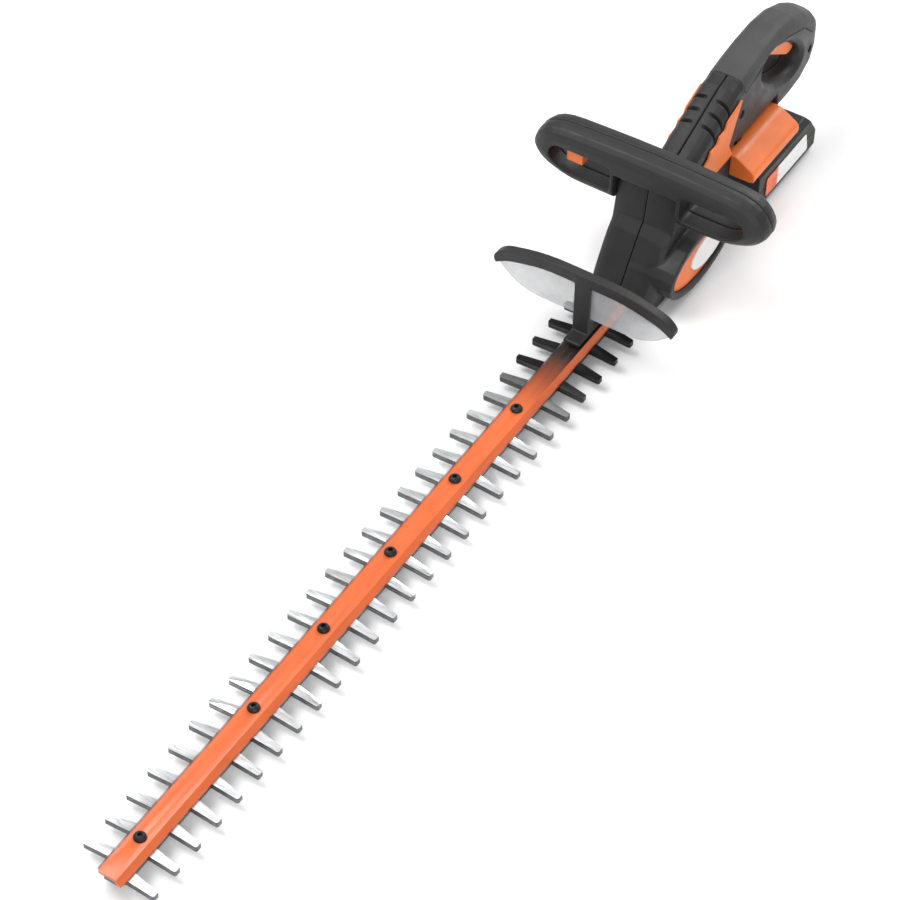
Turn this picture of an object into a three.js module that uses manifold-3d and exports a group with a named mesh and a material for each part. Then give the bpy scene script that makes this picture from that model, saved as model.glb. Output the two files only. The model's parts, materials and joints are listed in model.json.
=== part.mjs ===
// A cordless hedge trimmer: two toothed blades that slide against each other under an orange
// support bar, driven by a geared motor in a moulded housing, with a loop handle at the front,
// a D-shaped handle at the rear and a battery pack that slides onto its dock.
// Frame: millimetres, +X towards the blade tip, +Y to the user's left, +Z up. The origin is on the
// flat underside of the gear case, straight below the crank shaft, so the tool rests on Z = 0.
import * as THREE from "three";
import { mergeVertices } from "three/addons/utils/BufferGeometryUtils.js";
import Module from "manifold-3d";

const wasm = await Module();
wasm.setup();

// ---- Driving dimensions -------------------------------------------------------------------------

const GAP = 0.3; // clearance between neighbouring pieces
const ROUND = 24; // sides of a round piece

const TOOTH_PITCH = 21.5;
const TOOTH_COUNT = 27; // teeth on each side of a blade
const FIRST_TOOTH_X = 53.5;
const TOOTH_STAGGER = 8.5; // how far the left row leads the right row
const TOOTH_TIP_Y = 30;
const TOOTH_ROOT_WIDTH = 7.6;
const TOOTH_TIP_WIDTH = 4.6;
const TOOTH_LEAN = 2.5; // how far the middle of a tooth's root lies behind its tip
const SPINE_HALF_WIDTH = 9;
const BLADE_THICKNESS = 2.2;
const LOWER_BLADE_Z = 6.6;
const UPPER_BLADE_Z = LOWER_BLADE_Z + BLADE_THICKNESS + GAP;
const BLADE_TIP_X = 626;
const STROKE = TOOTH_PITCH / 4; // each blade's travel to either side of rest

const BAR_START_X = 29;
const BAR_END_X = 629;
const BAR_BASE_Z = UPPER_BLADE_Z + BLADE_THICKNESS + GAP;
const BAR_TOP_Z = 17.5;
const BAR_HALF_WIDTH = 10;
const BAR_TOP_HALF_WIDTH = 7;
const BAR_WALL = 2.4;
const BLADE_BOLT_X = [89.5, 167.5, 245.5, 323.5, 401, 478, 596];

const BODY_HALF_WIDTH = 25;
const NECK_HALF_WIDTH = 15.5;
const SKIN = 2.4; // thickness of the soft grip
const BODY_BASE_Z = 3.8;
const COVER_THICKNESS = 3.5;

const GEAR_MODULE = 1;
const GEAR_TEETH = 40;
const PINION_TEETH = 8;
const GEAR_Z = 14;
const GEAR_THICKNESS = 6;
const GEAR_CENTRES = (GEAR_MODULE * (GEAR_TEETH + PINION_TEETH)) / 2 + 0.25;
const MOTOR_X = -GEAR_CENTRES;
const MOTOR_RADIUS = 17;
const CRANK_SHAFT_RADIUS = 4;
const LOBE_RADIUS = 9.5;

const LOOP_X = -11; // middle of the front handle's thickness
const LOOP_HALF_DEPTH = 14;
const LEVER_TRAVEL = 4;

const HOLE_X = -173; // centre of the rear handle's finger hole
const HOLE_Z = 94;
const HOLE_HALF_LENGTH = 33;
const HOLE_HALF_HEIGHT = 13;
const HOLE_TILT = THREE.MathUtils.degToRad(28);

const DOCK_REAR_X = -168;
const DOCK_FRONT_X = -99;
const DOCK_HALF_WIDTH = 36;
const DOCK_BASE_Z = 42;
const DOCK_TOP_Z = 60;

const BATTERY_REAR_X = -204;
const BATTERY_FRONT_X = -114;
const BATTERY_HALF_WIDTH = 34;
const BATTERY_SPLIT_Z = 19;
const BATTERY_TOP_Z = 38;
const RAIL_HALF_WIDTH = 19;
const RAIL_TOP_Z = 47;
const CELL_RADIUS = 8.8;

const GUARD_X = 80;

// ---- Colours ------------------------------------------------------------------------------------

const finish = (color, roughness, metalness = 0) =>
  new THREE.MeshStandardMaterial({ color, roughness, metalness });
const blackPlastic = () => finish(0x2b2b2c, 0.55);
const softGrip = () => finish(0x4a4a4b, 0.8);
const orangePlastic = () => finish(0xf47b35, 0.45);
const orangePaint = () => finish(0xee6f35, 0.35, 0.1);
const bladeSteel = () => finish(0xc4c6c8, 0.3, 0.9);
const darkSteel = () => finish(0x17181a, 0.4, 0.8);
const gearSteel = () => finish(0x8d8f92, 0.35, 0.9);
const castAlloy = () => finish(0xa7a9ab, 0.5, 0.8);
const copper = () => finish(0xa8603a, 0.45, 0.7);
const whitePlate = () => finish(0xe9e9e7, 0.5);
const clearPlastic = () => {
  const material = finish(0xd7dbdb, 0.15);
  material.transparent = true;
  material.opacity = 0.45;
  return material;
};

// ---- Solids -------------------------------------------------------------------------------------

// A closed three.js geometry as a solid that can be cut and joined.
function solid(geometry) {
  const bare = geometry.clone();
  bare.deleteAttribute("normal");
  bare.deleteAttribute("uv");
  const merged = mergeVertices(bare, 1e-4);
  const vertProperties = new Float32Array(merged.attributes.position.array);
  const triVerts = new Uint32Array(merged.index.array);
  return new wasm.Manifold(new wasm.Mesh({ numProp: 3, vertProperties, triVerts }));
}

function geometryOf(body) {
  const mesh = body.getMesh();
  const geometry = new THREE.BufferGeometry();
  geometry.setAttribute("position", new THREE.BufferAttribute(new Float32Array(mesh.vertProperties), 3));
  geometry.setIndex(new THREE.BufferAttribute(new Uint32Array(mesh.triVerts), 1));
  geometry.computeVertexNormals();
  return geometry;
}

const join = (first, ...others) => others.reduce((sum, one) => sum.add(one), first);
const cut = (first, ...others) => others.reduce((rest, one) => rest.subtract(one), first);

function box([x0, x1], [y0, y1], [z0, z1]) {
  const geometry = new THREE.BoxGeometry(x1 - x0, y1 - y0, z1 - z0);
  geometry.translate((x0 + x1) / 2, (y0 + y1) / 2, (z0 + z1) / 2);
  return solid(geometry);
}

// An outline from corners [u, v, radius]; a corner with no radius stays sharp.
function outline(corners) {
  const shape = new THREE.Shape();
  corners.forEach(([u, v, radius = 0], i) => {
    const corner = new THREE.Vector2(u, v);
    const before = new THREE.Vector2(...corners[(i + corners.length - 1) % corners.length]);
    const after = new THREE.Vector2(...corners[(i + 1) % corners.length]);
    before.sub(corner);
    after.sub(corner);
    const start = before.setLength(Math.min(radius, 0.48 * before.length())).add(corner);
    const end = after.setLength(Math.min(radius, 0.48 * after.length())).add(corner);
    if (i === 0) shape.moveTo(start.x, start.y);
    else shape.lineTo(start.x, start.y);
    if (radius > 0) shape.quadraticCurveTo(u, v, end.x, end.y);
  });
  shape.closePath();
  return shape;
}

function ellipse(u, v, halfU, halfV, tilt = 0) {
  const shape = new THREE.Shape();
  shape.absellipse(u, v, halfU, halfV, 0, 2 * Math.PI, false, tilt);
  return shape;
}

// How an extruded outline is turned: the axis it runs along, with the outline's own two axes.
const TURNS = {
  x: new THREE.Matrix4().makeBasis(
    new THREE.Vector3(0, 1, 0), new THREE.Vector3(0, 0, 1), new THREE.Vector3(1, 0, 0)),
  y: new THREE.Matrix4().makeBasis(
    new THREE.Vector3(1, 0, 0), new THREE.Vector3(0, 0, 1), new THREE.Vector3(0, -1, 0)),
  z: new THREE.Matrix4(),
};

// An outline extruded along an axis from low to high. The outline lies in YZ for x, in XZ for y
// and in XY for z.
function prism(axis, shape, [low, high], curveSegments = 4) {
  const geometry = new THREE.ExtrudeGeometry(shape, {
    depth: high - low, bevelEnabled: false, curveSegments,
  });
  geometry.translate(0, 0, axis === "y" ? -high : low);
  geometry.applyMatrix4(TURNS[axis]);
  return solid(geometry);
}

// Corners moved inwards by the same distance from every edge; they run counterclockwise.
function insetCorners(corners, inset) {
  const count = corners.length;
  return corners.map(([u, v, radius], i) => {
    const corner = new THREE.Vector2(u, v);
    const before = new THREE.Vector2(...corners[(i + count - 1) % count]);
    const after = new THREE.Vector2(...corners[(i + 1) % count]);
    const arriving = corner.clone().sub(before).normalize();
    const leaving = after.clone().sub(corner).normalize();
    const inwards = new THREE.Vector2(-arriving.y - leaving.y, arriving.x + leaving.x);
    const step = (2 * inset) / inwards.lengthSq();
    return [u + step * inwards.x, v + step * inwards.y, Math.max(radius - 0.8 * inset, 0.5)];
  });
}

// A closed body over rings of [u, v] points, each ring at its own place along the axis. All rings
// have the same number of points, run counterclockwise, and their places rise.
function skin(axis, rings) {
  const around = rings[0].points.length;
  const index = [];
  for (let i = 0; i < rings.length - 1; i += 1) {
    for (let j = 0; j < around; j += 1) {
      const k = (j + 1) % around;
      const [a, b, c, d] = [i * around + j, i * around + k, (i + 1) * around + j, (i + 1) * around + k];
      index.push(a, b, c, b, d, c);
    }
  }
  const top = (rings.length - 1) * around;
  const endFace = rings[0].points.map(([u, v]) => new THREE.Vector2(u, v));
  THREE.ShapeUtils.triangulateShape(endFace, []).forEach(([a, b, c]) => {
    index.push(a, c, b, top + a, top + b, top + c);
  });
  const positions = rings.flatMap(({ at, points }) => points.flatMap(([u, v]) => [u, v, at]));
  const geometry = new THREE.BufferGeometry();
  geometry.setAttribute("position", new THREE.Float32BufferAttribute(positions, 3));
  geometry.setIndex(index);
  geometry.applyMatrix4(TURNS[axis]);
  return solid(geometry);
}

// A prism of the given corners whose long edges are rounded over by the bevel.
function pillow(axis, corners, [low, high], bevel, steps = 3) {
  const ring = (at, inset) => ({
    at,
    points: outline(insetCorners(corners, inset)).getPoints(4).slice(0, -1).map(({ x, y }) => [x, y]),
  });
  const levels = [];
  for (let i = 0; i <= steps; i += 1) {
    const angle = (i / steps) * (Math.PI / 2);
    levels.push([bevel * (1 - Math.cos(angle)), bevel * (1 - Math.sin(angle))]);
  }
  return skin(axis, [
    ...levels.map(([rise, inset]) => ring(low + rise, inset)),
    ...levels.reverse().map(([rise, inset]) => ring(high - rise, inset)),
  ]);
}

// A rounded box section swept along X, from stations [x, low z, high z, half-width, corner radius].
// The stations run rearwards. An inset draws every face in by the same distance.
function loft(stations, inset = 0) {
  const ARC = 3; // straight steps in each rounded corner
  const last = stations.length - 1;
  const rings = stations.map(([x, low, high, halfWidth, corner], i) => {
    const halfHeight = (high - low) / 2 - inset;
    const halfY = halfWidth - inset;
    const radius = Math.min(corner, 0.97 * Math.min(halfY, halfHeight));
    const points = [];
    for (let quarter = 0; quarter < 4; quarter += 1) {
      const sideY = quarter === 0 || quarter === 3 ? 1 : -1;
      const sideZ = quarter < 2 ? 1 : -1;
      for (let step = 0; step <= ARC; step += 1) {
        const angle = (quarter + step / ARC) * (Math.PI / 2);
        points.push([
          sideY * (halfY - radius) + radius * Math.cos(angle),
          (low + high) / 2 + sideZ * (halfHeight - radius) + radius * Math.sin(angle),
        ]);
      }
    }
    return { at: x + inset * ((i === last) - (i === 0)), points };
  });
  return skin("x", rings.reverse());
}

function cylinder(axis, [u, v], radius, span, sides = ROUND) {
  const shape = new THREE.Shape();
  for (let i = 0; i < sides; i += 1) {
    const angle = (2 * Math.PI * (i + 0.5)) / sides;
    shape[i ? "lineTo" : "moveTo"](u + radius * Math.cos(angle), v + radius * Math.sin(angle));
  }
  shape.closePath();
  return prism(axis, shape, span);
}

// A turned piece standing on the axis through (x, y): its profile is [radius, z] points.
function turned([x, y], profile, sides = ROUND) {
  const points = profile.map(([radius, z]) => new THREE.Vector2(radius, z));
  const geometry = new THREE.LatheGeometry(points, sides);
  geometry.rotateX(Math.PI / 2);
  geometry.translate(x, y, 0);
  return solid(geometry);
}

// A coil spring standing on the axis through (x, y).
function spring([x, y], [z0, z1], radius, wire, turns) {
  const points = [];
  const count = turns * 8;
  for (let i = 0; i <= count; i += 1) {
    const angle = (i / 8) * 2 * Math.PI;
    const z = z0 + wire + ((z1 - z0 - 2 * wire) * i) / count;
    points.push(new THREE.Vector3(x + radius * Math.cos(angle), y + radius * Math.sin(angle), z));
  }
  const path = new THREE.CatmullRomCurve3(points);
  const section = new THREE.Shape();
  section.absarc(0, 0, wire, 0, 2 * Math.PI);
  return solid(new THREE.ExtrudeGeometry(section, {
    steps: count, bevelEnabled: false, extrudePath: path, curveSegments: 3,
  }));
}

const mirrored = (body) => body.mirror([0, 1, 0]);
const both = (body) => body.add(mirrored(body));

const root = new THREE.Group();
root.name = "hedge_trimmer";

function add(name, body, material) {
  const mesh = new THREE.Mesh(geometryOf(body), material);
  mesh.name = name;
  root.add(mesh);
}

// ---- Blades -------------------------------------------------------------------------------------

// One tooth, from the spine out to its tip. It tapers, and its middle line leans towards the tip
// of the blade.
function tooth(x, side) {
  const rootX = x - TOOTH_LEAN;
  const base = side * (SPINE_HALF_WIDTH - 1);
  const corners = [
    [rootX - TOOTH_ROOT_WIDTH / 2, base],
    [rootX + TOOTH_ROOT_WIDTH / 2, base],
    [x + TOOTH_TIP_WIDTH / 2, side * (TOOTH_TIP_Y - 1)],
    [x + TOOTH_TIP_WIDTH / 2 - 1, side * TOOTH_TIP_Y],
    [x - TOOTH_TIP_WIDTH / 2, side * TOOTH_TIP_Y],
  ];
  return side > 0 ? corners : corners.reverse();
}

// Both blades share one plan: a yoke round the crank, a slotted spine and two rows of teeth.
function blade(z) {
  const span = [z, z + BLADE_THICKNESS];
  const spineOutline = outline([
    [24, -SPINE_HALF_WIDTH], [BLADE_TIP_X - 4, -SPINE_HALF_WIDTH], [BLADE_TIP_X, -5],
    [BLADE_TIP_X, 5], [BLADE_TIP_X - 4, SPINE_HALF_WIDTH], [24, SPINE_HALF_WIDTH],
  ]);
  const yokeOutline = outline([
    [-25.4, -12], [-18, -19.2], [18, -19.2], [25.4, -12],
    [25.4, 12], [18, 19.2], [-18, 19.2], [-25.4, 12],
  ]);
  // The windows clear the lobes at every place that a blade and the crank can take.
  const windowReach = LOBE_RADIUS + 2 * STROKE + GAP;
  const windowHalfWidth = LOBE_RADIUS + STROKE + 1.5;
  const yokeWindow = prism("z", ellipse(0, 0, windowReach, windowHalfWidth), [z - 1, z + 4], 9);
  let plan = join(prism("z", spineOutline, span), cut(prism("z", yokeOutline, span), yokeWindow));
  for (let i = 0; i < TOOTH_COUNT; i += 1) {
    const x = FIRST_TOOTH_X + i * TOOTH_PITCH;
    if (x < BLADE_TIP_X - 12) plan = plan.add(prism("z", outline(tooth(x + TOOTH_STAGGER, 1)), span));
    plan = plan.add(prism("z", outline(tooth(x, -1)), span));
  }
  const slots = BLADE_BOLT_X.map((x) => prism("z", outline([
    [x - STROKE - 3, -2.6], [x + STROKE + 3, -2.6], [x + STROKE + 3, 2.6], [x - STROKE - 3, 2.6],
  ]), [z - 1, z + 4]));
  return cut(plan, ...slots);
}

add("upper_blade", blade(UPPER_BLADE_Z), bladeSteel());
add("lower_blade", blade(LOWER_BLADE_Z), bladeSteel());

// The support bar is a folded channel, open underneath, with a cut corner at its tip.
function supportBar() {
  const section = outline([
    [-BAR_HALF_WIDTH, BAR_BASE_Z], [-BAR_HALF_WIDTH, 13.4], [-BAR_TOP_HALF_WIDTH, BAR_TOP_Z],
    [BAR_TOP_HALF_WIDTH, BAR_TOP_Z], [BAR_HALF_WIDTH, 13.4], [BAR_HALF_WIDTH, BAR_BASE_Z],
    [BAR_HALF_WIDTH - BAR_WALL, BAR_BASE_Z], [BAR_TOP_HALF_WIDTH - 1.2, BAR_TOP_Z - BAR_WALL],
    [1.2 - BAR_TOP_HALF_WIDTH, BAR_TOP_Z - BAR_WALL], [BAR_WALL - BAR_HALF_WIDTH, BAR_BASE_Z],
  ].reverse());
  const corner = prism("z", outline([
    [BAR_END_X - 5, -BAR_HALF_WIDTH - 1], [BAR_END_X + 1, -BAR_HALF_WIDTH - 1],
    [BAR_END_X + 1, 5 - BAR_HALF_WIDTH],
  ]), [0, 30]);
  const holes = BLADE_BOLT_X.map((x) => cylinder("z", [x, 0], 2.2 + GAP, [0, 30], 16));
  return cut(prism("x", section, [BAR_START_X, BAR_END_X]), corner, ...holes);
}
add("blade_support_bar", supportBar(), orangePaint());

// Each bolt holds the bar to the blades: a round head on top, a shank through the slots and a
// nut underneath.
function bladeBolt(x) {
  return turned([x, 0], [
    [0, 2.2], [4.4, 2.2], [4.4, 6.2], [2.2, 6.2], [2.2, BAR_TOP_Z + GAP],
    [4.3, BAR_TOP_Z + GAP], [4.3, BAR_TOP_Z + 2], [3.2, BAR_TOP_Z + 3], [0, BAR_TOP_Z + 3],
  ], 14);
}
BLADE_BOLT_X.forEach((x, i) => add("blade_bolt_" + (i + 1), bladeBolt(x), darkSteel()));

// ---- Drive --------------------------------------------------------------------------------------

// A spur gear's outline with straight-sided teeth, thin enough to run with backlash.
function gearOutline(teeth, x, phase) {
  const pitchRadius = (GEAR_MODULE * teeth) / 2;
  const tip = pitchRadius + 0.9 * GEAR_MODULE;
  const valley = pitchRadius - 1.2 * GEAR_MODULE;
  const half = Math.PI / teeth;
  const shape = new THREE.Shape();
  for (let i = 0; i < teeth; i += 1) {
    const middle = phase + 2 * half * i;
    [[valley, -0.62], [tip, -0.2], [tip, 0.2], [valley, 0.62]].forEach(([radius, share], j) => {
      const angle = middle + share * half;
      const place = [x + radius * Math.cos(angle), radius * Math.sin(angle)];
      shape[i + j ? "lineTo" : "moveTo"](...place);
    });
  }
  shape.closePath();
  return shape;
}

const gearSpan = [GEAR_Z, GEAR_Z + GEAR_THICKNESS];
const gearTooth = Math.PI / GEAR_TEETH;
add("drive_gear", cut(
  prism("z", gearOutline(GEAR_TEETH, 0, gearTooth), gearSpan),
  cylinder("z", [0, 0], CRANK_SHAFT_RADIUS + GAP, [0, 40]),
  ...[0, 1, 2, 3].map((i) => {
    const angle = (i + 0.5) * (Math.PI / 2);
    return cylinder("z", [12 * Math.cos(angle), 12 * Math.sin(angle)], 3.4, [0, 40], 12);
  }),
), gearSteel());

// The crank shaft carries two round lobes set to opposite sides, one in each blade's window.
const lobe = (y, z) => cylinder("z", [0, y], LOBE_RADIUS, [z - 0.1, z + BLADE_THICKNESS + GAP - 0.1]);
add("crank_shaft", join(
  cylinder("z", [0, 0], CRANK_SHAFT_RADIUS, [4.1, 28.2]),
  lobe(STROKE, UPPER_BLADE_Z),
  lobe(-STROKE, LOWER_BLADE_Z),
  cylinder("z", [0, 0], 7, [UPPER_BLADE_Z + 2.3, GEAR_Z - GAP]),
), gearSteel());

const bearing = (x, inner, outer, z0, z1) => turned([x, 0], [
  [inner, z0], [outer, z0], [outer, z1], [inner, z1], [inner, z0],
], 24);
add("lower_crank_bearing", bearing(0, CRANK_SHAFT_RADIUS + GAP, 8, 4, 6.2), gearSteel());
add("upper_crank_bearing", bearing(0, CRANK_SHAFT_RADIUS + GAP, 8, 22.3, 26.5), gearSteel());

add("motor_pinion", cut(
  prism("z", gearOutline(PINION_TEETH, MOTOR_X, 0), gearSpan),
  cylinder("z", [MOTOR_X, 0], 1.6 + GAP, [0, 40], 16),
), gearSteel());
add("motor_shaft", cylinder("z", [MOTOR_X, 0], 1.6, [12.6, 74.5], 16), gearSteel());
add("motor_armature", turned([MOTOR_X, 0], [
  [1.9, 32.5], [10, 32.5], [13.6, 36], [13.6, 52], [10, 55], [6.5, 56], [6.5, 60.5], [1.9, 60.5],
  [1.9, 32.5],
], 20), copper());
add("motor_can", turned([MOTOR_X, 0], [
  [2.2, 29.2], [MOTOR_RADIUS - 1, 29.2], [MOTOR_RADIUS, 30.2], [MOTOR_RADIUS, 62],
  [MOTOR_RADIUS - 1.8, 62], [MOTOR_RADIUS - 1.8, 31.2], [2.2, 31.2], [2.2, 29.2],
]), gearSteel());
add("motor_end_cap", turned([MOTOR_X, 0], [
  [2.2, 62.3], [MOTOR_RADIUS, 62.3], [MOTOR_RADIUS, 64.6], [9, 64.6], [8, 66.2], [2.2, 66.2], [2.2, 62.3],
]), blackPlastic());

// The cooling fan is a hub with flat blades under a thin disc.
function coolingFan() {
  const disc = turned([MOTOR_X, 0], [[1.9, 71.8], [15.4, 71.8], [15.4, 73.2], [1.9, 73.2],
  [1.9, 71.8]], 20);
  const hub = turned([MOTOR_X, 0], [[1.9, 66.8], [4.6, 66.8], [4.6, 72], [1.9, 72], [1.9, 66.8]], 12);
  let fan = disc.add(hub);
  for (let i = 0; i < 9; i += 1) {
    const vane = new THREE.BoxGeometry(11, 1.2, 4.8);
    vane.translate(9.5, 0, 69.6);
    vane.rotateZ((i * 2 * Math.PI) / 9);
    vane.translate(MOTOR_X, 0, 0);
    fan = fan.add(solid(vane));
  }
  return fan;
}
add("cooling_fan", coolingFan(), blackPlastic());

// A cast plate over the gears carries the motor and the crank shaft's upper bearing.
add("gear_plate", cut(
  prism("z", outline([
    [-46, -22, 6], [21.6, -22, 8], [21.6, 22, 8], [-46, 22, 6],
  ]), [22, 28.9]),
  cylinder("z", [0, 0], 8 + GAP, [20, 26.8]),
  cylinder("z", [0, 0], 5, [20, 40]),
  cylinder("z", [MOTOR_X, 0], 6.2, [20, 40]),
), castAlloy());

// The flat cover that closes the gear case from below is what the tool rests on at the front.
const COVER_SCREWS = [[26.5, 20.4], [26.5, -20.4], [-53, 17], [-53, -17]];
add("gear_case_cover", cut(
  join(
    prism("z", outline([
      [-62, -24, 8], [31, -24, 8], [31, 24, 8], [-62, 24, 8],
    ]), [0, COVER_THICKNESS]),
    bearing(0, 8 + GAP, 10.5, COVER_THICKNESS - 0.5, 6),
  ),
  ...COVER_SCREWS.map((place) => cylinder("z", place, 3.5, [-1, 1.9], 12)),
  ...COVER_SCREWS.map((place) => cylinder("z", place, 2, [0, 9], 12)),
), castAlloy());
COVER_SCREWS.forEach((place, i) => add("cover_screw_" + (i + 1), turned(place, [
  [0, 0.4], [3.1, 0.4], [3.1, 1.6], [1.6, 1.6], [1.6, 14], [0, 15],
], 12), darkSteel()));

// ---- Housing ------------------------------------------------------------------------------------

const GEAR_BODY = [
  [34.5, 6, 11, 14, 3], [33, BODY_BASE_Z, 17, 20, 6], [27, BODY_BASE_Z, 25, 24, 8],
  [21, BODY_BASE_Z, 34, BODY_HALF_WIDTH, 9], [14, BODY_BASE_Z, 46, BODY_HALF_WIDTH, 9],
  [8, BODY_BASE_Z, 56, BODY_HALF_WIDTH, 9], [1, BODY_BASE_Z, 64, BODY_HALF_WIDTH, 9],
  [-1, BODY_BASE_Z, 75, BODY_HALF_WIDTH, 9], [-4, BODY_BASE_Z, 94, BODY_HALF_WIDTH, 9],
  [-26, BODY_BASE_Z, 95, BODY_HALF_WIDTH, 9], [-33, BODY_BASE_Z, 83, BODY_HALF_WIDTH, 9],
  [-46, BODY_BASE_Z, 78, 20, 9], [-58, BODY_BASE_Z, 74, NECK_HALF_WIDTH, 9],
  [-72, 6, 72, NECK_HALF_WIDTH, 9], [-88, 13, 70, NECK_HALF_WIDTH, 9],
  [-98, 26, 68, NECK_HALF_WIDTH, 9], [-103, 42, 64, 14, 8],
];
const NECK = [
  [-20, 50, 83, NECK_HALF_WIDTH, 8], [-55, 52, 97.5, NECK_HALF_WIDTH, 8.5],
  [-71, 56, 104, NECK_HALF_WIDTH, 9], [-85, 60.3, 110, NECK_HALF_WIDTH, 9],
  [-101, 60.3, 116.5, NECK_HALF_WIDTH, 9], [-112, 64, 119, 15, 9],
];
const REAR_HANDLE = [
  [-96, 66, 112, 15, 8.5], [-112, 60.3, 119.5, 15.4, 9], [-127, 60.3, 122.5, 15.4, 9],
  [-147, 60.3, 125.8, 15.2, 9.5], [-169, 60.3, 127.5, 15, 10], [-171, 49, 127.4, 15, 10],
  [-191, 48.5, 124.5, 15, 10], [-209, 50.5, 117.5, 14.6, 10], [-222, 56, 109.5, 14, 10],
  [-230, 64, 100.5, 12.5, 9], [-233.5, 74, 91, 10, 6],
];
const sideBoss = (halfLength, halfHeight) => ellipse(-24, 30, halfLength, halfHeight);

// The finger hole of the rear handle flares towards both sides, so the grip is rounded inside.
function fingerHole() {
  const SIDES = 28;
  const ring = (at, flare) => {
    const [c, s] = [Math.cos(HOLE_TILT), Math.sin(HOLE_TILT)];
    const points = [];
    for (let i = 0; i < SIDES; i += 1) {
      const angle = (i / SIDES) * 2 * Math.PI;
      const u = (HOLE_HALF_LENGTH + flare) * Math.cos(angle);
      const v = (HOLE_HALF_HEIGHT + flare) * Math.sin(angle);
      points.push([HOLE_X + u * c - v * s, HOLE_Z + u * s + v * c]);
    }
    return { at, points };
  };
  return skin("y", [[-20, 12], [-15, 7], [-12, 3], [-8, 1], [8, 1], [12, 3], [15, 7], [20, 12]].map(
    ([at, flare]) => ring(at, flare)));
}
const holeCutter = fingerHole();

// Everything above this line on the rear handle is the soft grip.
const gripRegion = (lift) => prism("y", outline([
  [-112, 108 + lift], [-140, 116 + lift], [-176, 117 + lift], [-204, 107 + lift], [-220, 92 + lift],
  [-250, 84 + lift], [-250, 200], [-112, 200],
].reverse()), [-40, 40]);

const gearBody = loft(GEAR_BODY);
// The body's shape with clearance round it.
const bodyRoom = loft(GEAR_BODY, -GAP).add(loft(NECK, -GAP));
const handleOuter = loft(REAR_HANDLE);
const handleInside = loft(REAR_HANDLE, SKIN);
const handleCore = loft(REAR_HANDLE, SKIN + GAP);

// The trigger and its pocket are placed along the finger hole's own long axis.
const alongHolePoint = (u, v) => [
  HOLE_X - u * Math.cos(HOLE_TILT) - v * Math.sin(HOLE_TILT),
  HOLE_Z - u * Math.sin(HOLE_TILT) + v * Math.cos(HOLE_TILT),
];
const alongHole = (corners) => outline(corners.map(([u, v, radius]) => [...alongHolePoint(u, v), radius]));
const TRIGGER_PIN = alongHolePoint(-18, 14);
const TRIGGER_SPRING = [-194, 0];
// Screws that join the housing halves: X, Z and how far out along Y the head's top is.
const HOUSING_SCREWS = [[-57, 54, 14.4], [-111, 90, 14.2], [-220, 76, 12.4]];

const loopBar = box(
  [LOOP_X - LOOP_HALF_DEPTH - GAP, LOOP_X + LOOP_HALF_DEPTH + GAP], [-60, 60], [95.7, 140]);

// A vent slot across the shoulder of the neck; the neck's top there is at topZ.
function ventSlot(x, topZ) {
  const geometry = new THREE.BoxGeometry(2.4, 19, 8);
  geometry.rotateX(THREE.MathUtils.degToRad(-45));
  geometry.translate(x, 11.5, topZ - 2.6);
  return solid(geometry);
}
const ventSlots = [[-70, 103.5], [-80, 107.8], [-90.5, 112.2]].map(([x, topZ]) => both(ventSlot(x, topZ)));

const housingBody = () => {
  const shell = join(
    gearBody,
    loft(NECK),
    cut(handleOuter, gripRegion(-GAP)),
    handleCore,
    prism("y", sideBoss(46, 24), [0, 37], 12),
  );
  const badgePocket = prism("y", sideBoss(40, 18.5), [31, 40], 12);
  return cut(
    shell,
    badgePocket,
    holeCutter,
    loopBar,
    ...ventSlots,
    // crank and gear bay, motor bay, blade mouth
    prism("z", outline([
      [-31.4, -20], [-24, -20], [24, -20], [31.4, -12.5], [31.4, 12.5], [24, 20], [-31.4, 20],
    ]), [0, 13.4]),
    box([-46.6, 22.2], [-22.6, 22.6], [13.2, 29]),
    cylinder("z", [MOTOR_X, 0], MOTOR_RADIUS + 1.2, [28.8, 76]),
    prism("x", outline([
      [-10.6, 5.4], [10.6, 5.4], [10.6, 13.8], [7.6, 18], [-7.6, 18], [-10.6, 13.8],
    ]), [28, 40]),
    ...COVER_SCREWS.map((place) => cylinder("z", place, 2, [0, 15.6], 12)),
    // control board bay, switch bay, trigger pocket, trigger pin, dock terminals
    box([-98, -58], [-12, 12], [63, 88]),
    box([-138, -112], [-9.6, 9.6], [96, 113]),
    prism("y", alongHole([[-27, 8], [34, -2], [34, 29.5], [2, 28], [-27, 18.5]].reverse()), [-8, 8]),
    cylinder("y", TRIGGER_PIN, 2.3, [-12.5, 12.5], 16),
    ...HOUSING_SCREWS.map(([x, z, head]) => join(
      cylinder("y", [x, z], 3.3, [head - 2.4, 40], 16),
      cylinder("y", [x, z], 1.9, [-9.5, head], 16),
    )),
    box([-121, -110], [-12.2, 12.2], [DOCK_TOP_Z - 1, 66]),
  );
};
const housing = housingBody();
const SEAM = 0.15;
add("left_housing", housing.intersect(box([-300, 100], [SEAM, 60], [-10, 200])), blackPlastic());
add("right_housing", housing.intersect(box([-300, 100], [-60, -SEAM], [-10, 200])), blackPlastic());

// The soft grip is a skin over the top of the rear handle.
add("rear_grip", cut(
  handleOuter.intersect(gripRegion(0)), handleInside, holeCutter, bodyRoom,
), softGrip());

// An oval accent panel with a blank plate sits in the pocket on the left side.
add("side_accent_panel", cut(
  prism("y", sideBoss(40 - GAP, 18.5 - GAP), [31.3, 34.2], 12),
  prism("y", ellipse(-36, 29, 24 + GAP, 13 + GAP), [33, 40], 10),
), orangePlastic());
add("blank_side_badge", prism("y", ellipse(-36, 29, 24, 13), [33.3, 35.2], 10), whitePlate());

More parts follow.
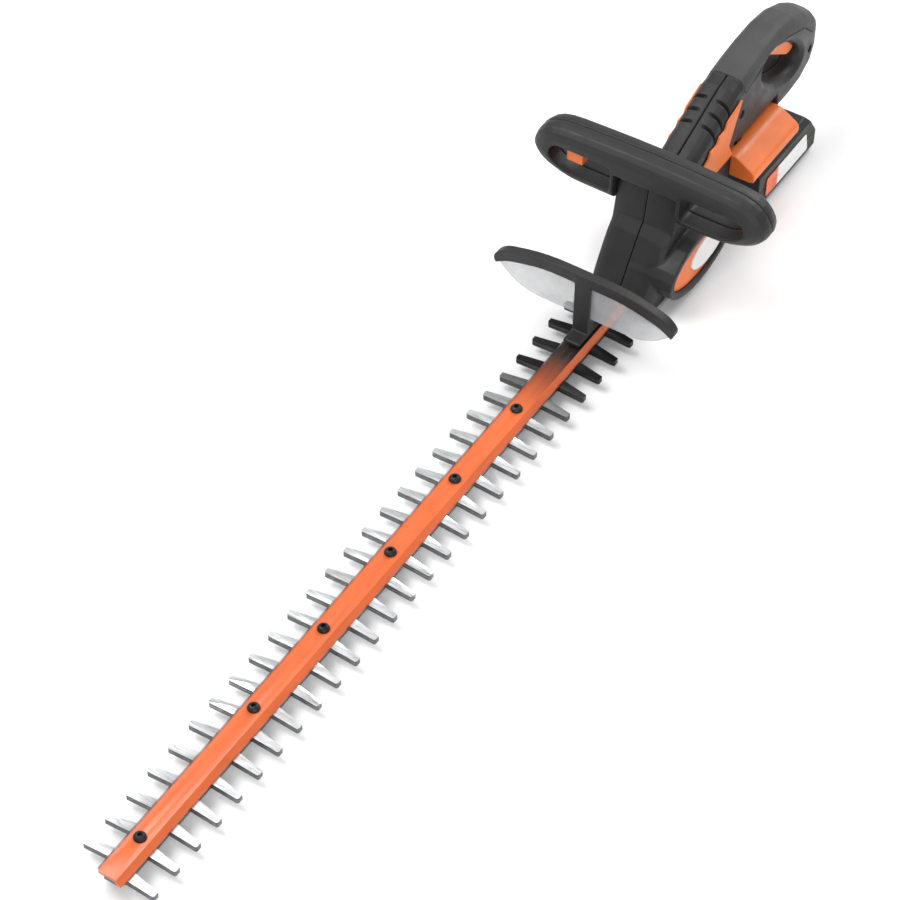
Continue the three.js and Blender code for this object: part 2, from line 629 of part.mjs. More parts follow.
// The orange strip on each flank has a stepped upper edge that follows the vent slots.
const flank = prism("y", outline([
  [-51, 82], [-59, 85.5], [-62, 90.5], [-71, 91], [-74, 96], [-82, 96.5], [-85, 101.5], [-106, 108.5],
  [-91, 76], [-98, 62.5], [-60, 62.5],
]), [NECK_HALF_WIDTH + GAP, NECK_HALF_WIDTH + 2]);
add("left_flank_panel", flank, orangePlastic());
add("right_flank_panel", mirrored(flank), orangePlastic());

HOUSING_SCREWS.forEach(([x, z, head], i) => add("housing_screw_" + (i + 1), join(
  cylinder("y", [x, z], 3, [head - 2, head], 12),
  cylinder("y", [x, z], 1.6, [-9, head - 1], 12),
), darkSteel()));

// ---- Front handle -------------------------------------------------------------------------------

const LOOP_CORNERS = [
  [64, 71, 16], [87, 80, 12], [97, 94, 12], [83, 115, 20], [0, 118.5, 60],
  [-83, 115, 20], [-97, 94, 12], [-87, 80, 12], [-64, 71, 16],
];
const loopHole = outline([[28, 79.5, 4], [64, 79.5, 8], [80, 88, 8], [76, 101, 6], [28, 101, 4]]);
const loopSpan = [LOOP_X - LOOP_HALF_DEPTH, LOOP_X + LOOP_HALF_DEPTH];
const LEVER_X = -7;
const LEVER_BASE_Z = 96.6;
const LEVER_TOP_Z = 103.6;
const LEVER_SPRINGS_Y = [-38, 16];
const PADDLE_Y = [-66, -53];
const PADDLE_LOW_Z = 88;
const PADDLE_ROOM = 3;
const LEVER_LEFT_Y = 21;
const leverPocket = join(
  box(
    [LEVER_X - 5.4, LEVER_X + 5.4],
    [PADDLE_Y[0] - PADDLE_ROOM, PADDLE_Y[1] + PADDLE_ROOM],
    [PADDLE_LOW_Z - 4, LEVER_BASE_Z + 1.4],
  ),
  box(
    [LEVER_X - 5.4, LEVER_X + 5.4],
    [PADDLE_Y[0] - PADDLE_ROOM, LEVER_LEFT_Y + 1],
    [LEVER_BASE_Z - 0.4, LEVER_TOP_Z + LEVER_TRAVEL + 0.6],
  ),
);
const bodySaddle = box([-40, 20], [-BODY_HALF_WIDTH - GAP, BODY_HALF_WIDTH + GAP], [40, 95.7 + GAP]);
const loopHandle = cut(
  pillow("x", LOOP_CORNERS, loopSpan, 10),
  both(prism("x", loopHole, [-60, 40])),
  bodySaddle,
  leverPocket,
);
const loopHalf = (x0, x1) => loopHandle.intersect(box([x0, x1], [-120, 120], [0, 160]));
add("front_handle_rear_half", loopHalf(-80, LOOP_X - SEAM), blackPlastic());
add("front_handle_front_half", loopHalf(LOOP_X + SEAM, 80), blackPlastic());

// The front switch lever is an arm inside the loop's bar. Its paddle shows in the right opening,
// two springs push it down and its other end reaches under the switch.
add("front_switch_lever", cut(
  join(
    box([LEVER_X - 5, LEVER_X + 5], [PADDLE_Y[0], LEVER_LEFT_Y], [LEVER_BASE_Z, LEVER_TOP_Z]),
    box([LEVER_X - 5, LEVER_X + 5], PADDLE_Y, [PADDLE_LOW_Z, LEVER_TOP_Z]),
  ),
  box([-40, 20], [-15, 8], [99.5, 120]),
  ...LEVER_SPRINGS_Y.map((y) => cylinder("z", [LEVER_X, y], 3.9, [LEVER_BASE_Z + 1.6, 120], 12)),
), orangePlastic());
LEVER_SPRINGS_Y.forEach((y, i) => add(
  "front_lever_spring_" + (i + 1),
  spring([LEVER_X, y], [LEVER_BASE_Z + 1.9, LEVER_TOP_Z + LEVER_TRAVEL + 0.3], 2.8, 0.6, 3), gearSteel()));
add("front_switch", join(
  box([LEVER_X - 5, LEVER_X + 5], [-14, 7], [104.2, 107.9]),
  box([LEVER_X - 2, LEVER_X + 2], [-6, -2], [103.8, 105]),
), blackPlastic());

// ---- Rear controls ------------------------------------------------------------------------------

add("rear_trigger", cut(
  prism("y", alongHole([
    [-24, 13, 3], [-14, 6, 4], [24, 2, 5], [31, 8, 4], [31, 21.5, 2], [0, 21.5, 4], [-24, 17.5, 3],
  ].reverse()), [-7.4, 7.4]),
  cylinder("y", TRIGGER_PIN, 2.3, [-12, 12], 16),
  cylinder("z", TRIGGER_SPRING, 3.8, [101, 130], 12),
), orangePlastic());
add("trigger_pin", cylinder("y", TRIGGER_PIN, 2, [-12, 12], 16), gearSteel());
add("trigger_spring", spring(TRIGGER_SPRING, [101.3, 114.6], 2.7, 0.6, 3), gearSteel());
add("rear_switch", join(
  box([-137, -113], [-9, 9], [98, 112]),
  box([-134, -128], [-3, 3], [111, 112.6]),
), blackPlastic());

add("control_board", join(
  box([-96, -60], [-11, 11], [66, 67.6]),
  box([-92, -80], [-9, -1], [67.5, 76]),
  box([-76, -66], [-8, 2], [67.5, 72]),
  cylinder("z", [-84, 6], 4, [67.5, 82], 12),
  cylinder("z", [-70, 7], 3, [67.5, 78], 12),
), finish(0x2f5a3c, 0.6));

// ---- Dock and battery ---------------------------------------------------------------------------

const dockSection = outline([
  [-DOCK_HALF_WIDTH, DOCK_BASE_Z, 3], [DOCK_HALF_WIDTH, DOCK_BASE_Z, 3], [DOCK_HALF_WIDTH, 50, 3],
  [20, DOCK_TOP_Z, 3], [-20, DOCK_TOP_Z, 3], [-DOCK_HALF_WIDTH, 50, 3],
]);
add("battery_dock", cut(
  prism("x", dockSection, [DOCK_REAR_X, DOCK_FRONT_X]),
  box([DOCK_REAR_X - 1, -121.4], [-RAIL_HALF_WIDTH - 0.6, RAIL_HALF_WIDTH + 0.6], [30, RAIL_TOP_Z + 0.7]),
  box([-121.6, -109.8], [-12.4, 12.4], [DOCK_BASE_Z + 2, 70]),
  bodyRoom,
), orangePlastic());

const terminal = (y) => box([-133, -119], [y - 0.5, y + 0.5], [44.6, 46.4]);
add("terminal_block", join(
  box([-119.6, -112.6], [-11.8, 11.8], [DOCK_BASE_Z + 2.3, 58]),
  terminal(-7), terminal(0), terminal(7),
), castAlloy());

const batteryLength = [BATTERY_REAR_X, BATTERY_FRONT_X];
const lowerSection = (wall) => outline([
  [-BATTERY_HALF_WIDTH + wall, BATTERY_SPLIT_Z + (wall ? 1 : -SEAM)],
  [-BATTERY_HALF_WIDTH + wall, 5 + wall / 2],
  [-29 + wall / 2, wall], [29 - wall / 2, wall],
  [BATTERY_HALF_WIDTH - wall, 5 + wall / 2],
  [BATTERY_HALF_WIDTH - wall, BATTERY_SPLIT_Z + (wall ? 1 : -SEAM)],
]);
add("battery_lower_case", cut(
  prism("x", lowerSection(0), batteryLength),
  prism("x", lowerSection(2.2), [BATTERY_REAR_X + 2.4, BATTERY_FRONT_X - 2.4]),
), blackPlastic());

const upperSection = (wall) => outline([
  [-BATTERY_HALF_WIDTH + wall, BATTERY_SPLIT_Z + (wall ? -1 : SEAM)],
  [BATTERY_HALF_WIDTH - wall, BATTERY_SPLIT_Z + (wall ? -1 : SEAM)],
  [BATTERY_HALF_WIDTH - wall, BATTERY_TOP_Z - 4 - wall / 2],
  [BATTERY_HALF_WIDTH - 4 - wall / 2, BATTERY_TOP_Z - wall],
  [-BATTERY_HALF_WIDTH + 4 + wall / 2, BATTERY_TOP_Z - wall],
  [-BATTERY_HALF_WIDTH + wall, BATTERY_TOP_Z - 4 - wall / 2],
]);
const terminalSlot = (y) => box([-134, -110], [y - 1.2, y + 1.2], [43, 60]);
const LATCH = { x: [-187, -176], y: [-12, 12], base: 36.4, top: 41.5 };
add("battery_upper_case", cut(
  join(
    prism("x", upperSection(0), batteryLength),
    box([-172, -122], [-RAIL_HALF_WIDTH, RAIL_HALF_WIDTH], [BATTERY_TOP_Z - 1, RAIL_TOP_Z]),
  ),
  prism("x", upperSection(2.2), [BATTERY_REAR_X + 16, BATTERY_FRONT_X - 2.4]),
  prism("y", outline([[-190, 39], [-206, 39], [-206, 19.4], [-203.6, 19.4]]), [-40, 40]),
  both(box([-173, -118], [15.6, 30], [BATTERY_TOP_Z + 0.2, 43])),
  terminalSlot(-7), terminalSlot(0), terminalSlot(7),
  box([LATCH.x[0] - 0.4, LATCH.x[1] + 0.4], [LATCH.y[0] - 0.4, LATCH.y[1] + 0.4], [30, 60]),
), blackPlastic());

const cell = (x, z) => cylinder("y", [x, z], CELL_RADIUS, [-27, 27], 14);
const CELL_STEP = 2 * CELL_RADIUS - 0.6;
const CELL_Z = 2.6 + CELL_RADIUS;
const lowerCells = [0, 1, 2].map((i) => cell(-179 + i * CELL_STEP, CELL_Z));
const UPPER_CELL_Z = CELL_Z + CELL_STEP * Math.sin(Math.PI / 3);
const upperCells = [0, 1].map((i) => cell(-179 + (i + 0.5) * CELL_STEP, UPPER_CELL_Z));
add("battery_cells", join(...lowerCells, ...upperCells), finish(0x3d7fb0, 0.4));
add("battery_latch_button", join(
  box(LATCH.x, LATCH.y, [LATCH.base, LATCH.top]),
  box([LATCH.x[0] + 3, LATCH.x[1] - 3], [-8, 8], [LATCH.top - 0.5, LATCH.top + 1]),
), orangePlastic());

const label = prism("y", outline([[-190, 10, 2], [-125, 10, 2], [-125, 27, 2],
[-186, 27, 2]]), [34.3, 34.9]);
add("left_battery_label", label, whitePlate());
add("right_battery_label", mirrored(label), whitePlate());

// ---- Guard --------------------------------------------------------------------------------------

const GUARD_CORNERS = [
  [-60, 42, 12], [-44, 35, 8], [44, 35, 8], [60, 42, 12], [75, 57, 8], [66, 67, 6], [34, 75.5, 20],
  [-34, 75.5, 20], [-66, 67, 6], [-75, 57, 8],
];
const guardOutline = outline(GUARD_CORNERS);
const sheetSpan = [GUARD_X - 1.1, GUARD_X + 1.1];
const sheet = prism("x", outline(insetCorners(GUARD_CORNERS, 1.4)), sheetSpan);
const sheetSlot = prism(
  "x", outline(insetCorners(GUARD_CORNERS, 1)), [sheetSpan[0] - GAP, sheetSpan[1] + GAP]);
const rimRegion = prism("x", outline([
  [-90, 52], [-72, 52], [-62, 58.5, 6], [-33, 66.5, 16], [33, 66.5, 16], [62, 58.5, 6], [72, 52], [90, 52],
  [90, 100], [-90, 100],
]), [60, 100]);
const post = box([GUARD_X - 4, GUARD_X + 4], [-6.5, 6.5], [20.6, 72]);
add("guard_bracket", cut(
  join(
    prism("x", guardOutline, [GUARD_X - 3.6, GUARD_X + 3.6]).intersect(rimRegion),
    post,
    box([42, GUARD_X + 16], [-6.5, 6.5], [20.8, 23.2]),
  ),
  sheetSlot,
), blackPlastic());
add("clear_guard", sheet, clearPlastic());

export default root;
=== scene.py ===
"""The looks of a cordless hedge trimmer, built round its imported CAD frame.

Metres, +X towards the blade tip, +Y to the user's left, +Z up; the tool rests on Z = 0.
"""

import json
import math

import bmesh
import bpy
from mathutils import Matrix, Vector


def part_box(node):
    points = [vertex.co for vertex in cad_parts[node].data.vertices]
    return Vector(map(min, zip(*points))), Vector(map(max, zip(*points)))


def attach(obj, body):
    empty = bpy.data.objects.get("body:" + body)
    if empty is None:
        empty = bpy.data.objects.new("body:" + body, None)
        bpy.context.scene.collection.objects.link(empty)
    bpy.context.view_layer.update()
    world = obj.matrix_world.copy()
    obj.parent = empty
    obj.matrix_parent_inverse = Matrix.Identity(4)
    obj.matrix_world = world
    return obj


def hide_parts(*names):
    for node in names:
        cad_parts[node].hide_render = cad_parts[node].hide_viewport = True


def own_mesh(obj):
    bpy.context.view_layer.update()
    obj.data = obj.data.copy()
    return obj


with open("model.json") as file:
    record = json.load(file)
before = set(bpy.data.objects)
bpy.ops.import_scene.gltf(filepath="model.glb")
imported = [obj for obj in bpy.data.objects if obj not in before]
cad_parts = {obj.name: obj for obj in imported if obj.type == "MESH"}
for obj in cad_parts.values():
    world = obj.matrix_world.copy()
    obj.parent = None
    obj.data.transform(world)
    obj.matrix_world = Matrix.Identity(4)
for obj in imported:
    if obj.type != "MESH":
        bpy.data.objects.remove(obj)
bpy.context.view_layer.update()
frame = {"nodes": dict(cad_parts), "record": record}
NODES = frame["nodes"]
BODY_OF = {n: b for b, ns in frame["record"]["behaviour"]["bodies"].items() for n in ns}
SLOT_OF = {s["node"]: s["material_slot"] for s in frame["record"]["subparts"]}
MM = 0.001
WELD = 2e-6  # vertices closer than this, in metres, are one
COPLANAR = math.radians(1)
METAL_CREASE = math.radians(35)
BOLT_CREASE = math.radians(32)
KEPT_SHARE = 0.22  # of a remeshed moulding's faces
FLOOR_Z = -0.0004
LABEL_SPLIT_X = -0.142
LABEL_FADE = 0.0012


# ---- Materials ----------------------------------------------------------------------------------


class Graph:
    """A material's node tree, built a node at a time."""

    def __init__(self, name):
        self.material = bpy.data.materials.new(name)
        self.material.use_nodes = True
        self.tree = self.material.node_tree
        self.shader = self.tree.nodes["Principled BSDF"]
        self.coords = self.add("ShaderNodeTexCoord").outputs["Object"]

    def add(self, kind, **settings):
        node = self.tree.nodes.new(kind)
        for key, value in settings.items():
            setattr(node, key, value)
        return node

    def link(self, output, socket):
        self.tree.links.new(output, socket)

    def noise(self, scale, detail, stretch=(1, 1, 1)):
        """Noise over the object's own coordinates, finer along an axis that is stretched more."""
        mapping = self.add("ShaderNodeMapping")
        mapping.inputs["Scale"].default_value = stretch
        self.link(self.coords, mapping.inputs["Vector"])
        noise = self.add("ShaderNodeTexNoise")
        noise.inputs["Scale"].default_value = scale
        noise.inputs["Detail"].default_value = detail
        self.link(mapping.outputs["Vector"], noise.inputs["Vector"])
        return noise.outputs["Fac"]

    def ramp(self, fac, stops):
        """A colour from a ramp; each stop is a place from 0 to 1 and a colour."""
        node = self.add("ShaderNodeValToRGB")
        elements = node.color_ramp.elements
        while len(elements) < len(stops):
            elements.new(0.5)
        for element, (place, colour) in zip(elements, stops):
            element.position = place
            element.color = (*colour, 1)
        self.link(fac, node.inputs["Fac"])
        return node.outputs["Color"]

    def span(self, fac, low, high, from_low=0.3, from_high=0.7):
        """low to high as fac goes from from_low to from_high."""
        node = self.add("ShaderNodeMapRange")
        node.inputs["From Min"].default_value = from_low
        node.inputs["From Max"].default_value = from_high
        node.inputs["To Min"].default_value = low
        node.inputs["To Max"].default_value = high
        self.link(fac, node.inputs["Value"])
        return node.outputs["Result"]

    def axis(self, name, low, high):
        """0 to 1 as the object's own X, Y or Z goes from low to high, in metres."""
        axes = self.add("ShaderNodeSeparateXYZ")
        self.link(self.coords, axes.inputs["Vector"])
        return self.span(axes.outputs[name], 0.0, 1.0, low, high)

    def facing(self, name, low, high, either_way=False):
        """0 to 1 as the surface's normal along an axis goes from low to high."""
        axes = self.add("ShaderNodeSeparateXYZ")
        self.link(self.add("ShaderNodeTexCoord").outputs["Normal"], axes.inputs["Vector"])
        part = axes.outputs[name]
        if either_way:
            size = self.add("ShaderNodeMath", operation="ABSOLUTE")
            self.link(part, size.inputs[0])
            part = size.outputs[0]
        return self.span(part, 0.0, 1.0, low, high)

    def mixed(self, fac, low, high):
        """The colour low where fac is 0 and high where it is 1; each is an output or a colour."""
        mix = self.add("ShaderNodeMix", data_type="RGBA")
        self.link(fac, mix.inputs[0])
        for socket, colour in ((mix.inputs[6], low), (mix.inputs[7], high)):
            if isinstance(colour, tuple):
                socket.default_value = (*colour, 1)
            else:
                self.link(colour, socket)
        return mix.outputs[2]

    def bump(self, heights):
        """Chains bumps: each is a noise output, its strength and its depth in metres."""
        normal = None
        for height, strength, distance in heights:
            node = self.add("ShaderNodeBump")
            node.inputs["Strength"].default_value = strength
            node.inputs["Distance"].default_value = distance
            self.link(height, node.inputs["Height"])
            if normal is not None:
                self.link(normal, node.inputs["Normal"])
            normal = node.outputs["Normal"]
        self.link(normal, self.shader.inputs["Normal"])


def scaled(colour, by):
    return tuple(min(1.0, c * by) for c in colour)


def around(colour, low, high):
    """Ramp stops from a darker to a lighter share of a colour."""
    return [(0.3, scaled(colour, low)), (0.7, scaled(colour, high))]


def moulded(name, colour, roughness, grain=0.22, specular=0.5):
    """Injection-moulded plastic: a fine spark-eroded grain, faint flow clouds and handling wear."""
    g = Graph(name)
    clouds = g.noise(26, 4)
    g.link(g.ramp(clouds, around(colour, 0.88, 1.12)), g.shader.inputs["Base Color"])
    g.link(g.span(g.noise(70, 5), roughness - 0.08, roughness + 0.1), g.shader.inputs["Roughness"])
    g.shader.inputs["Specular IOR Level"].default_value = specular
    g.bump([(g.noise(900, 2), grain, 0.0002), (g.noise(260, 3), 0.05, 0.0004)])
    return g.material


def steel(name, colour, roughness, stretch=(1, 18, 18), metallic=1.0, stain=0.75):
    """Ground or turned steel: streaks along one axis, with faint oily patches."""
    g = Graph(name)
    streaks = g.noise(120, 4, stretch)
    patches = g.noise(18, 4)
    mix = g.add("ShaderNodeMix", data_type="RGBA", blend_type="MULTIPLY")
    mix.inputs[0].default_value = 1.0
    g.link(g.ramp(streaks, around(colour, 0.8, 1.15)), mix.inputs[6])
    g.link(g.ramp(patches, [(0.35, (stain, stain, stain)), (0.6, (1, 1, 1))]), mix.inputs[7])
    g.link(mix.outputs[2], g.shader.inputs["Base Color"])
    g.link(g.span(streaks, roughness - 0.08, roughness + 0.14), g.shader.inputs["Roughness"])
    g.shader.inputs["Metallic"].default_value = metallic
    g.bump([(streaks, 0.12, 0.00015)])
    return g.material


def ground_steel(name, colour):
    """Blade steel: pale faces, painted shade on the bevels at the cutting edges, and a painted
    shadow with dark reflection towards the handle.
    """
    g = Graph(name)
    streaks = g.noise(120, 4, (16, 1, 1))
    face = g.ramp(streaks, around(colour, 0.82, 1.12))
    # Painted shade: every bevel, where the normal leaves the vertical, gets this darker grey in
    # place of the lit face colour.
    edge = g.ramp(g.noise(200, 3), [(0.3, (0.1, 0.1, 0.105)), (0.7, (0.2, 0.2, 0.205))])
    lit_faces_shaded_bevels = g.mixed(g.facing("Z", 0.8, 0.95, True), edge, face)
    # Painted shadow and dark reflection: the steel goes near black towards the handle, below X =
    # 0.12 m.
    blade_root_shade = g.ramp(g.noise(50, 4), [(0.3, (0.02, 0.02, 0.021)), (0.7, (0.05, 0.05, 0.052))])
    g.link(g.mixed(g.axis("X", 0.12, 0.18), blade_root_shade, lit_faces_shaded_bevels), g.shader.inputs["Base Color"])
    g.link(g.span(streaks, 0.24, 0.46), g.shader.inputs["Roughness"])
    g.shader.inputs["Metallic"].default_value = 0.9
    g.bump([(streaks, 0.12, 0.00015)])
    return g.material


def powder_coat(name, colour, flank):
    """Powder-coated sheet steel: wavy, rubbed in patches, with painted shade on its right side and
    a painted shadow near the handle end.
    """
    g = Graph(name)
    rubbed = g.noise(60, 6, (0.4, 2.2, 2.2))
    top = g.ramp(rubbed, [(0.25, scaled(colour, 0.85)), (0.5, colour), (0.8, scaled(colour, 1.15))])
    # Painted shade: the right side, below Y = -0.0078 m, takes the darker flank colour as if turned
    # from the light.
    shaded_flank = g.ramp(rubbed, [(0.25, scaled(flank, 0.7)), (0.75, scaled(flank, 1.3))])
    sides = g.mixed(g.axis("Y", -0.0078, -0.0058), shaded_flank, top)
    # Painted shadow and dark reflection: towards the handle, below X = 0.105 m, the bar goes near
    # black except on faces turned to +Y.
    bar_root_shade = g.mixed(g.facing("Y", 0.1, 0.4), (0.016, 0.012, 0.011), sides)
    g.link(g.mixed(g.axis("X", 0.105, 0.165), bar_root_shade, sides), g.shader.inputs["Base Color"])
    g.link(g.span(g.noise(90, 4), 0.26, 0.46), g.shader.inputs["Roughness"])
    g.shader.inputs["Coat Weight"].default_value = 0.25
    g.shader.inputs["Coat Roughness"].default_value = 0.2
    g.bump([(g.noise(420, 2), 0.16, 0.0003)])
    return g.material


def clear_sheet(name):
    """Clear moulded polycarbonate, a little grey and faintly hazed."""
    g = Graph(name)
    haze = g.noise(34, 5)
    tint = g.ramp(haze, [(0.3, (0.46, 0.47, 0.48)), (0.7, (0.6, 0.61, 0.62))])
    g.link(tint, g.shader.inputs["Base Color"])
    g.link(g.span(haze, 0.08, 0.26), g.shader.inputs["Roughness"])
    g.link(g.span(g.noise(60, 4), 0.42, 0.6), g.shader.inputs["Alpha"])
    g.shader.inputs["IOR"].default_value = 1.58
    g.bump([(g.noise(45, 2), 0.08, 0.001)])
    return g.material


def label(name):
    """A blank side label: a warm front block that fades into plain white."""
    g = Graph(name)
    speckle = g.noise(500, 2)
    white = g.ramp(speckle, [(0.3, (0.76, 0.76, 0.75)), (0.7, (0.88, 0.88, 0.87))])
    warm = g.ramp(speckle, [(0.3, (0.72, 0.09, 0.03)), (0.7, (0.88, 0.2, 0.06))])
    front = g.axis("X", LABEL_SPLIT_X - LABEL_FADE, LABEL_SPLIT_X + LABEL_FADE)
    g.link(g.mixed(front, white, warm), g.shader.inputs["Base Color"])
    g.link(g.span(g.noise(80, 3), 0.32, 0.5), g.shader.inputs["Roughness"])
    g.bump([(speckle, 0.06, 0.0001)])
    return g.material


DARK = (0.019, 0.019, 0.0195)
ORANGE = (0.78, 0.17, 0.03)
MATERIALS = {
    "black_plastic": moulded("black_plastic", DARK, 0.46, specular=0.34),
    "soft_grip": moulded("soft_grip", (0.05, 0.05, 0.051), 0.62, grain=0.35, specular=0.34),
    "orange_plastic": moulded("orange_plastic", ORANGE, 0.42, grain=0.12),
    # The second colour is painted shade for the bar's right side.
    "orange_paint": powder_coat("orange_paint", (0.66, 0.118, 0.022), (0.13, 0.012, 0.004)),
    "blade_steel": ground_steel("blade_steel", (0.66, 0.67, 0.68)),
    "dark_steel": steel("dark_steel", (0.03, 0.03, 0.033), 0.38, (1, 1, 1), 0.7),
    "gear_steel": steel("gear_steel", (0.42, 0.43, 0.44), 0.3, (6, 6, 1)),
    "cast_alloy": steel("cast_alloy", (0.5, 0.51, 0.52), 0.5, (1, 1, 1), 0.85),
    "winding_copper": steel("winding_copper", (0.6, 0.24, 0.1), 0.4, (1, 1, 14)),
    "contact_brass": steel("contact_brass", (0.7, 0.5, 0.2), 0.3, (4, 1, 1)),
    "white_plate": moulded("white_plate", (0.8, 0.8, 0.79), 0.4, grain=0.08),
    "clear_plastic": clear_sheet("clear_plastic"),
    "cell_wrap": moulded("cell_wrap", (0.05, 0.2, 0.42), 0.35, grain=0.05),
    "board": moulded("board", (0.03, 0.11, 0.055), 0.45, grain=0.15),
}
SIDE_LABEL = label("side_label")


def dress(obj, material):
    obj.data.materials.clear()
    obj.data.materials.append(material)


# ---- Pieces -------------------------------------------------------------------------------------


def linked(name, data):
    """A new object of that data, in the scene."""
    obj = bpy.data.objects.new(name, data)
    bpy.context.scene.collection.objects.link(obj)
    return obj


def mesh_object(name, bm):
    """A new object whose mesh is the bmesh, which is freed."""
    mesh = bpy.data.meshes.new(name)
    bm.to_mesh(mesh)
    bm.free()
    return linked(name, mesh)


def adopt(obj, node, material=None):
    """obj stands for a CAD node and moves with its body."""
    dress(obj, material or MATERIALS[SLOT_OF[node]])
    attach(obj, BODY_OF[node])
    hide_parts(node)


def welded_copy(node, suffix):
    bm = bmesh.new()
    bm.from_mesh(NODES[node].data)
    bmesh.ops.remove_doubles(bm, verts=bm.verts, dist=WELD)
    return mesh_object(node + suffix, bm)


def baked(obj):
    """Applies the object's modifiers to its mesh."""
    graph = bpy.context.evaluated_depsgraph_get()
    mesh = bpy.data.meshes.new_from_object(obj.evaluated_get(graph))
    obj.modifiers.clear()
    obj.data = mesh


def softened(node, voxel, passes):
    """A copy whose edges are all rounded over, as on a moulding. The voxel is in mm."""
    obj = welded_copy(node, "_moulded")
    remesh = obj.modifiers.new("remesh", "REMESH")
    remesh.mode = "VOXEL"
    remesh.voxel_size = voxel * MM
    remesh.use_smooth_shade = True
    smooth = obj.modifiers.new("smooth", "SMOOTH")
    smooth.factor = 0.5
    smooth.iterations = passes
    lighter = obj.modifiers.new("lighter", "DECIMATE")
    lighter.ratio = KEPT_SHARE
    baked(obj)
    obj.data.shade_smooth()
    adopt(obj, node)


def eased(node, width, segments=2, angle=28, material=None):
    """A copy with a narrow bevel along its sharp edges, as on cut metal. The width is in mm."""
    obj = welded_copy(node, "_edged")
    bm = bmesh.new()
    bm.from_mesh(obj.data)
    bmesh.ops.dissolve_limit(bm, angle_limit=COPLANAR, verts=bm.verts, edges=bm.edges)
    bm.to_mesh(obj.data)
    bm.free()
    bevel = obj.modifiers.new("bevel", "BEVEL")
    bevel.width = width * MM
    bevel.segments = segments
    bevel.limit_method = "ANGLE"
    bevel.angle_limit = math.radians(angle)
    baked(obj)
    obj.data.shade_smooth()
    obj.data.set_sharp_from_angle(angle=METAL_CREASE)
    adopt(obj, node, material)


def squeezed_spring(node):
    """A rounded copy of a return spring."""
    obj = welded_copy(node, "_coiled")
    rounding = obj.modifiers.new("rounding", "SUBSURF")
    rounding.levels = rounding.render_levels = 1
    baked(obj)
    obj.data.shade_smooth()
    adopt(obj, node)
    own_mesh(obj)


def hexagon(radius):
    """The distance from a hexagon's centre to its edge, as a function of the angle."""
    half = math.pi / 6
    return lambda angle: radius * math.cos(half) / math.cos((angle % (2 * half)) - half)


def ring_body(name, centre, rings, sides=36):
    """A closed turned body from rings of (height in mm, radius in mm or a radius of the angle)."""
    bm = bmesh.new()
    loops = []
    for z, radius in rings:
        loop = []
        for i in range(sides):
            angle = i * math.tau / sides
            r = radius(angle) if callable(radius) else radius
            x = centre[0] + r * MM * math.cos(angle)
            y = centre[1] + r * MM * math.sin(angle)
            loop.append(bm.verts.new((x, y, z * MM)))
        loops.append(loop)
    for low, high in zip(loops, loops[1:]):
        for i in range(sides):
            j = (i + 1) % sides
            bm.faces.new((low[i], low[j], high[j], high[i]))
    bm.faces.new(list(reversed(loops[0])))
    bm.faces.new(loops[-1])
    bmesh.ops.recalc_face_normals(bm, faces=bm.faces)
    obj = mesh_object(name, bm)
    obj.data.shade_smooth()
    obj.data.set_sharp_from_angle(angle=BOLT_CREASE)
    return obj


def bolt(node):
    """A button-head bolt with a hexagon socket above, a shank and a hexagon nut below."""
    low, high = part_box(node)
    centre = ((low.x + high.x) / 2, (low.y + high.y) / 2)
    base, top = low.z / MM, high.z / MM
    nut_top = base + 4.0
    head = top - 3.0
    shank = 2.2
    nut = [
        (base, 3.2), (base, hexagon(4.0)), (base + 0.35, hexagon(4.35)),
        (base + 3.65, hexagon(4.35)), (nut_top, hexagon(4.0)), (nut_top, shank),
    ]
    button = [
        (head, shank), (head, 4.1), (head + 0.25, 4.3), (head + 0.9, 4.25),
        (head + 1.6, 3.95), (head + 2.3, 3.35), (head + 2.8, 2.6), (top, 2.15),
    ]
    socket = [(top, hexagon(1.75)), (top - 0.25, hexagon(1.6)), (top - 1.7, hexagon(1.5))]
    adopt(ring_body(node + "_socket", centre, nut + button + socket), node)


# Moulded plastic, the large mouldings first: voxel size in mm, smoothing passes, nodes.
MOULDINGS = (
    (0.7, 3, ("left_housing", "right_housing")),
    (0.7, 4, ("front_handle_front_half", "front_handle_rear_half", "rear_grip")),
    (0.6, 3, ("battery_dock", "battery_upper_case", "battery_lower_case", "guard_bracket")),
    (0.4, 3, ("left_flank_panel", "right_flank_panel", "side_accent_panel", "rear_trigger",
              "battery_latch_button", "blank_side_badge")),
)
for voxel, passes, nodes in MOULDINGS:
    for node in nodes:
        softened(node, voxel, passes)

# Metal: narrow bevels on the cut edges.
for node in ("upper_blade", "lower_blade"):
    eased(node, 0.8, 1)
eased("blade_support_bar", 0.7, 3, 20)
eased("gear_case_cover", 0.5)
eased("front_switch_lever", 0.8, 3)
for index in range(1, 8):
    bolt("blade_bolt_%d" % index)
for node in ("left_battery_label", "right_battery_label"):
    eased(node, 0.12, 1, 40, SIDE_LABEL)

# Return springs, rounded.
squeezed_spring("front_lever_spring_1")
squeezed_spring("front_lever_spring_2")
squeezed_spring("trigger_spring")

# What is inside, or already fine enough, keeps its CAD shape with a worked material.
for node, obj in NODES.items():
    dress(obj, MATERIALS[SLOT_OF[node]])


# ---- Stage, light and camera --------------------------------------------------------------------


def floor():
    g = Graph("pale_floor")
    pale = g.ramp(g.noise(3, 4), [(0.3, (0.83, 0.83, 0.83)), (0.7, (0.88, 0.88, 0.88))])
    g.link(pale, g.shader.inputs["Base Color"])
    g.link(g.span(g.noise(40, 3), 0.7, 0.85), g.shader.inputs["Roughness"])
    g.bump([(g.noise(220, 3), 0.03, 0.0005)])
    bm = bmesh.new()
    bmesh.ops.create_grid(bm, x_segments=8, y_segments=8, size=4.0)
    obj = mesh_object("floor", bm)
    obj.location.z = FLOOR_Z
    dress(obj, g.material)


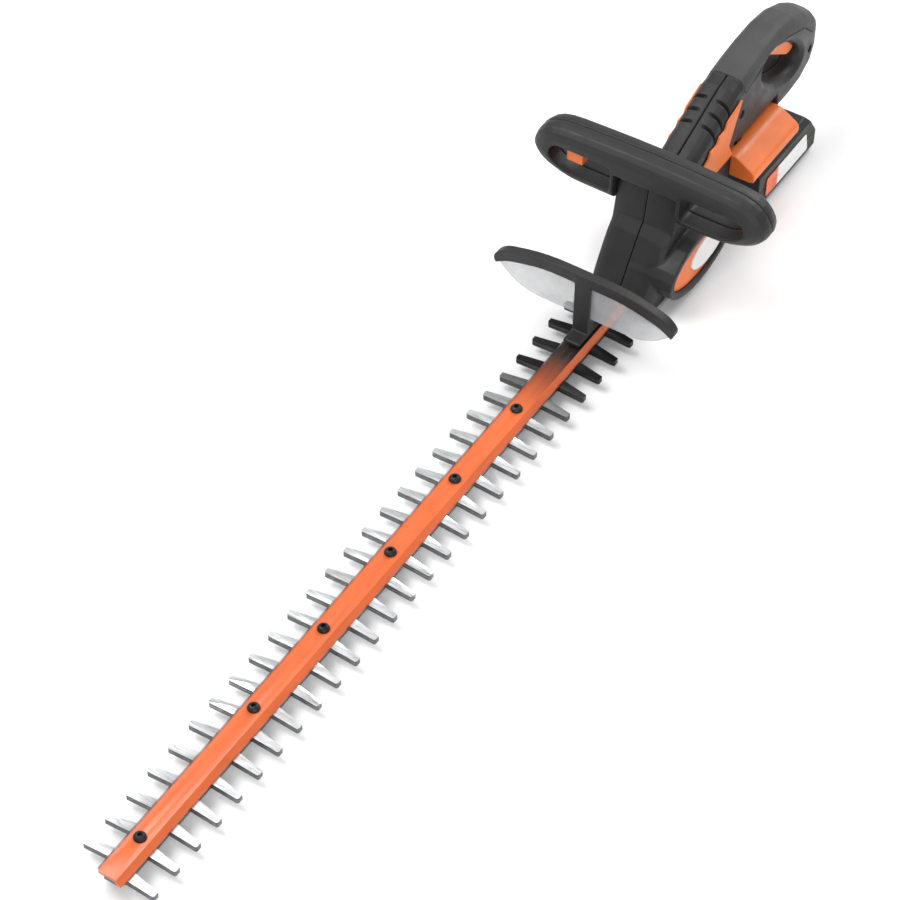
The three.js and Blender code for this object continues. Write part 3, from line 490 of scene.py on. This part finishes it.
def area_light(name, place, aim, size, power):
    """A round soft light: places and size in metres, power in watts."""
    data = bpy.data.lights.new(name, "AREA")
    data.shape = "DISK"
    data.size = size
    data.energy = power
    obj = linked(name, data)
    obj.location = place
    obj.rotation_euler = (Vector(aim) - Vector(place)).to_track_quat("-Z", "Y").to_euler()


def surroundings():
    """A pale studio that is brighter overhead."""
    world = bpy.data.worlds.new("studio")
    bpy.context.scene.world = world
    world.use_nodes = True
    tree = world.node_tree
    coords = tree.nodes.new("ShaderNodeTexCoord")
    axes = tree.nodes.new("ShaderNodeSeparateXYZ")
    ramp = tree.nodes.new("ShaderNodeValToRGB")
    ramp.color_ramp.elements[0].position = 0.0
    ramp.color_ramp.elements[0].color = (0.62, 0.62, 0.63, 1)
    ramp.color_ramp.elements[1].position = 0.75
    ramp.color_ramp.elements[1].color = (1, 1, 1, 1)
    tree.links.new(coords.outputs["Generated"], axes.inputs["Vector"])
    tree.links.new(axes.outputs["Z"], ramp.inputs["Fac"])
    tree.links.new(ramp.outputs["Color"], tree.nodes["Background"].inputs["Color"])
    tree.nodes["Background"].inputs["Strength"].default_value = 0.75


def camera():
    """The viewing direction, the point looked at, the distance, the roll and the long lens."""
    azimuth, elevation, roll = 0.5593099, 0.8160159, 0.0166903
    aim = Vector((0.2187195, -0.0209639, 0.010))
    distance = 2.0350123
    level = math.cos(elevation)
    back = Vector((level * math.cos(azimuth), level * math.sin(azimuth), math.sin(elevation)))
    right = Vector((0, 0, 1)).cross(back).normalized()
    up = back.cross(right)
    rolled_right = math.cos(roll) * right + math.sin(roll) * up
    rolled_up = math.cos(roll) * up - math.sin(roll) * right
    data = bpy.data.cameras.new("camera")
    data.lens = 120
    data.sensor_width = 36
    data.clip_end = 20
    obj = linked("camera", data)
    turn = Matrix((rolled_right, rolled_up, back)).transposed().to_4x4()
    obj.matrix_world = Matrix.Translation(aim + back * distance) @ turn
    bpy.context.scene.camera = obj


floor()
area_light("key", (0.5, -0.9, 1.7), (0.15, 0, 0.05), 1.3, 26)
area_light("fill", (1.5, 1.2, 1.0), (0.2, 0, 0.05), 1.6, 12)
area_light("back", (-1.3, 0.2, 1.1), (-0.05, 0, 0.08), 0.9, 14)
surroundings()
camera()
bpy.context.scene.view_settings.view_transform = "Standard"
